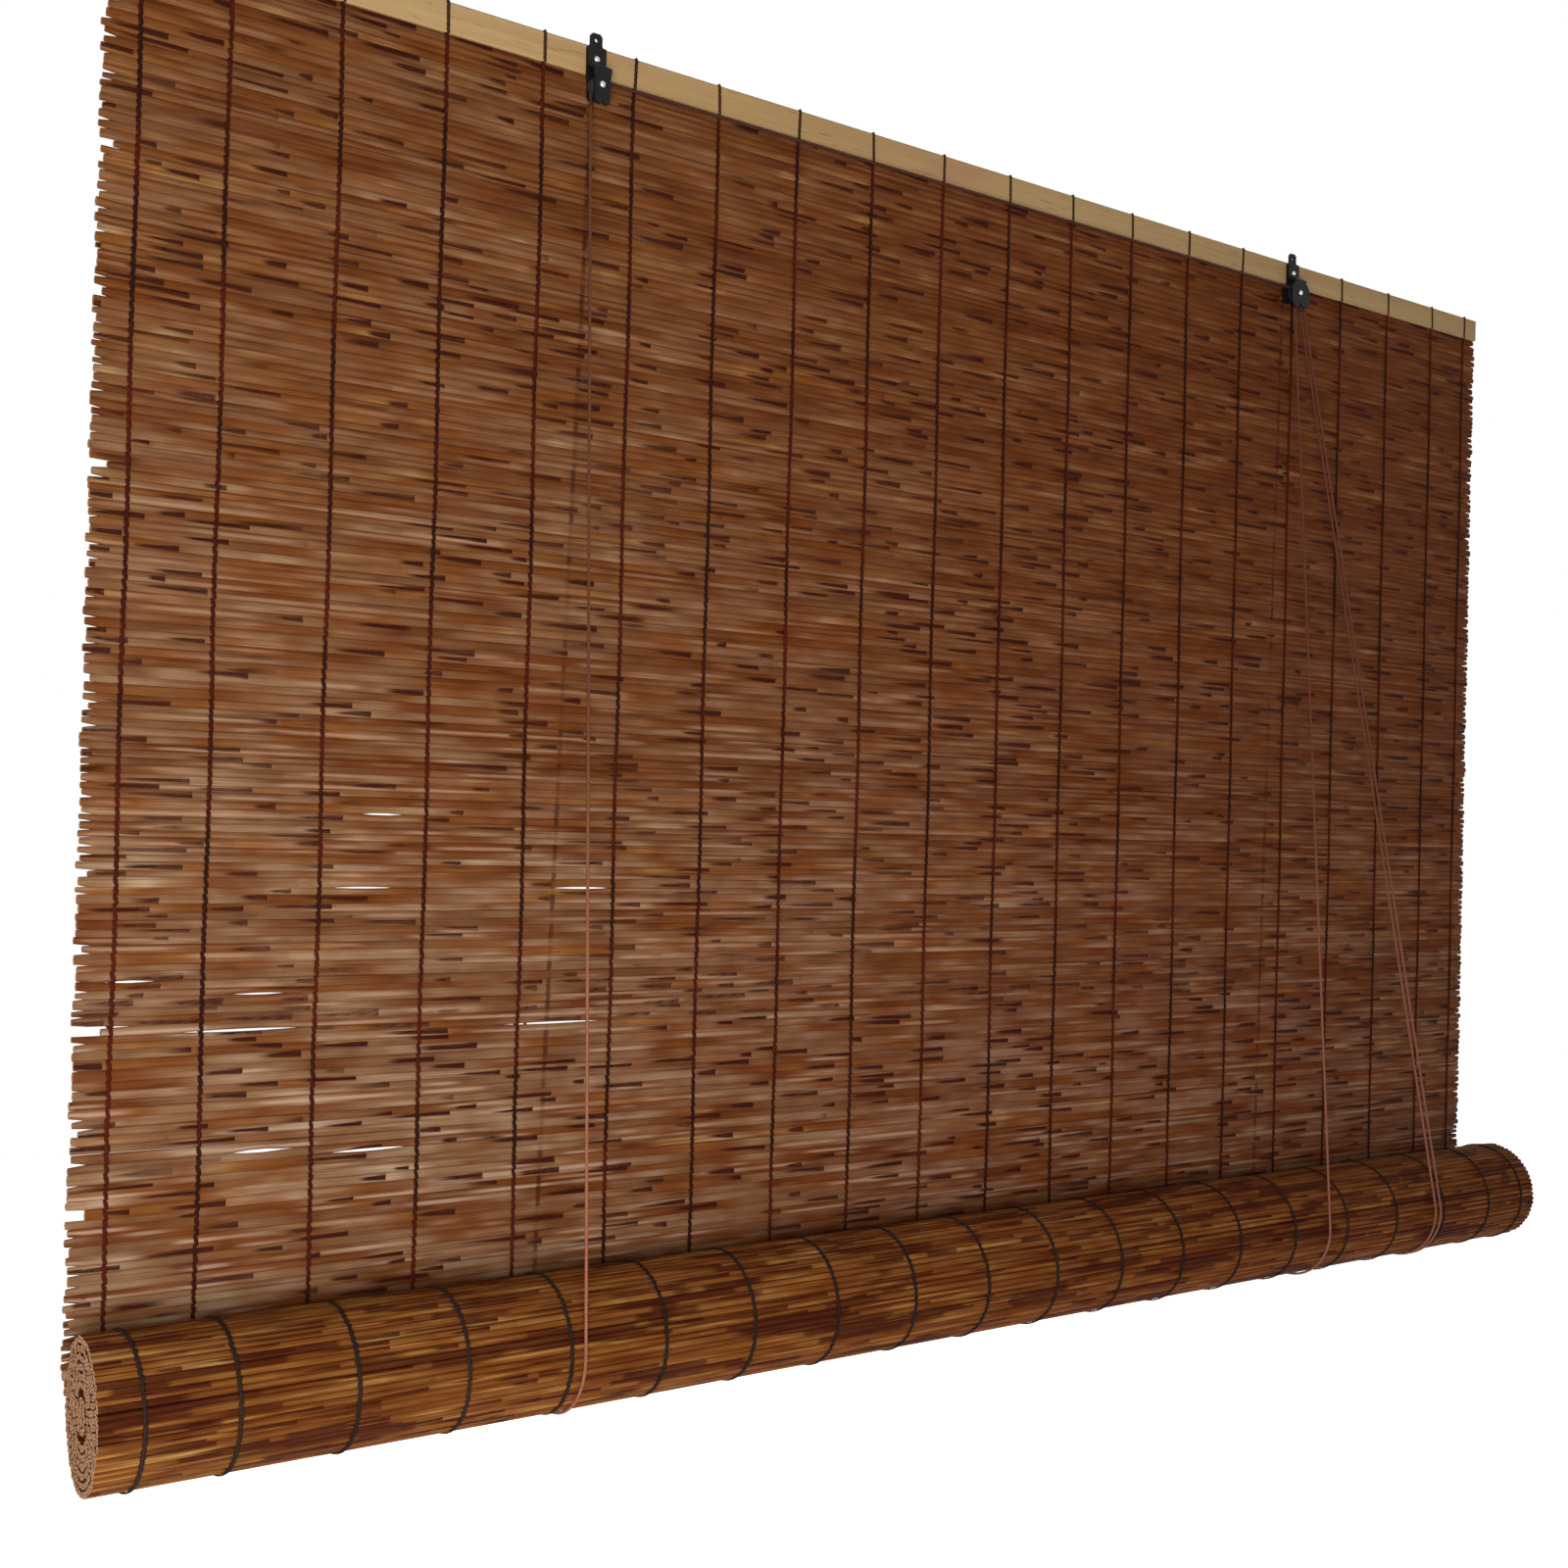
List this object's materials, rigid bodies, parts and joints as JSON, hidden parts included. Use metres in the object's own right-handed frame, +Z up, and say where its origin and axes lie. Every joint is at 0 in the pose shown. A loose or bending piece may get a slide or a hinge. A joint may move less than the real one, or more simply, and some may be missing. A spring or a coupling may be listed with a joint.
{
  "type": "roll-up reed blind",
  "caption": "Reed mat on a wooden head batten, rolled up from below by cords that run over two pulley hangers; hung by the hangers' eyes.",
  "frame": {"origin": "midway between the two hanging eyes, on the back face of their plates", "axes": "+X along the blind to the right as seen from the room, +Y towards the wall or window, +Z up"},
  "size_m": [1.6, 0.1187, 1.0883],
  "materials": {
    "reed": "carbonised reed, satin skin",
    "rolled_reed": "carbonised reed, satin skin",
    "batten_wood": "planed light wood",
    "twine": "twisted dark twine",
    "cord": "braided cord",
    "hanger_steel": "black painted pressed steel",
    "wheel_plastic": "black nylon",
    "bright_steel": "bright zinc"
  },
  "bodies": {
    "head": {"head_batten": "batten_wood", "reed_mat": "reed", "mat_twines": "twine", "left_rear_plate": "hanger_steel", "left_front_plate": "hanger_steel", "left_axle": "bright_steel", "left_screw": "bright_steel", "right_rear_plate": "hanger_steel", "right_front_plate": "hanger_steel", "right_axle": "bright_steel", "right_screw": "bright_steel", "screw_eyes": "bright_steel", "stopper_knots": "cord", "left_front_cord": "cord", "left_back_cord": "cord", "right_front_cord": "cord", "right_back_cord": "cord", "cross_cord": "cord", "right_wrap_cord": "cord", "pull_cord_a": "cord", "pull_cord_b": "cord"},
    "sling": {"left_sling_cord": "cord", "right_sling_cord": "cord", "pull_tail_a": "cord", "pull_tail_b": "cord", "pull_knot": "cord"},
    "roll": {"rolled_mat": "rolled_reed", "roll_twines": "twine", "bottom_batten": "batten_wood"},
    "left_pulley": {"left_wheel": "wheel_plastic"},
    "right_pulley": {"right_wheel": "wheel_plastic"}
  },
  "joints": [
    {"name": "roll_lift", "type": "slide", "parent": "head", "child": "sling", "axis": [0, 0, 1], "range_m": [0, 0.886], "deforming": ["reed_mat", "mat_twines", "left_front_cord", "right_front_cord", "left_back_cord", "right_back_cord", "pull_cord_a", "pull_cord_b"]},
    {"name": "roll_turn", "type": "hinge", "parent": "sling", "child": "roll", "pos_m": [0, -0.0444, -1.028], "axis": [1, 0, 0], "range_deg": [-1081, 0]},
    {"name": "left_wheel_spin", "type": "hinge", "parent": "head", "child": "left_pulley", "pos_m": [-0.435, -0.007, -0.039], "axis": [0, 1, 0], "continuous": true},
    {"name": "right_wheel_spin", "type": "hinge", "parent": "head", "child": "right_pulley", "pos_m": [0.435, -0.007, -0.039], "axis": [0, 1, 0], "continuous": true}
  ],
  "couplings": [
    {"joint": "roll_turn", "follows": "roll_lift", "rad_per_m": -21.275},
    {"joint": "left_wheel_spin", "follows": "roll_lift", "rad_per_m": 333.33},
    {"joint": "right_wheel_spin", "follows": "roll_lift", "rad_per_m": 333.33}
  ]
}
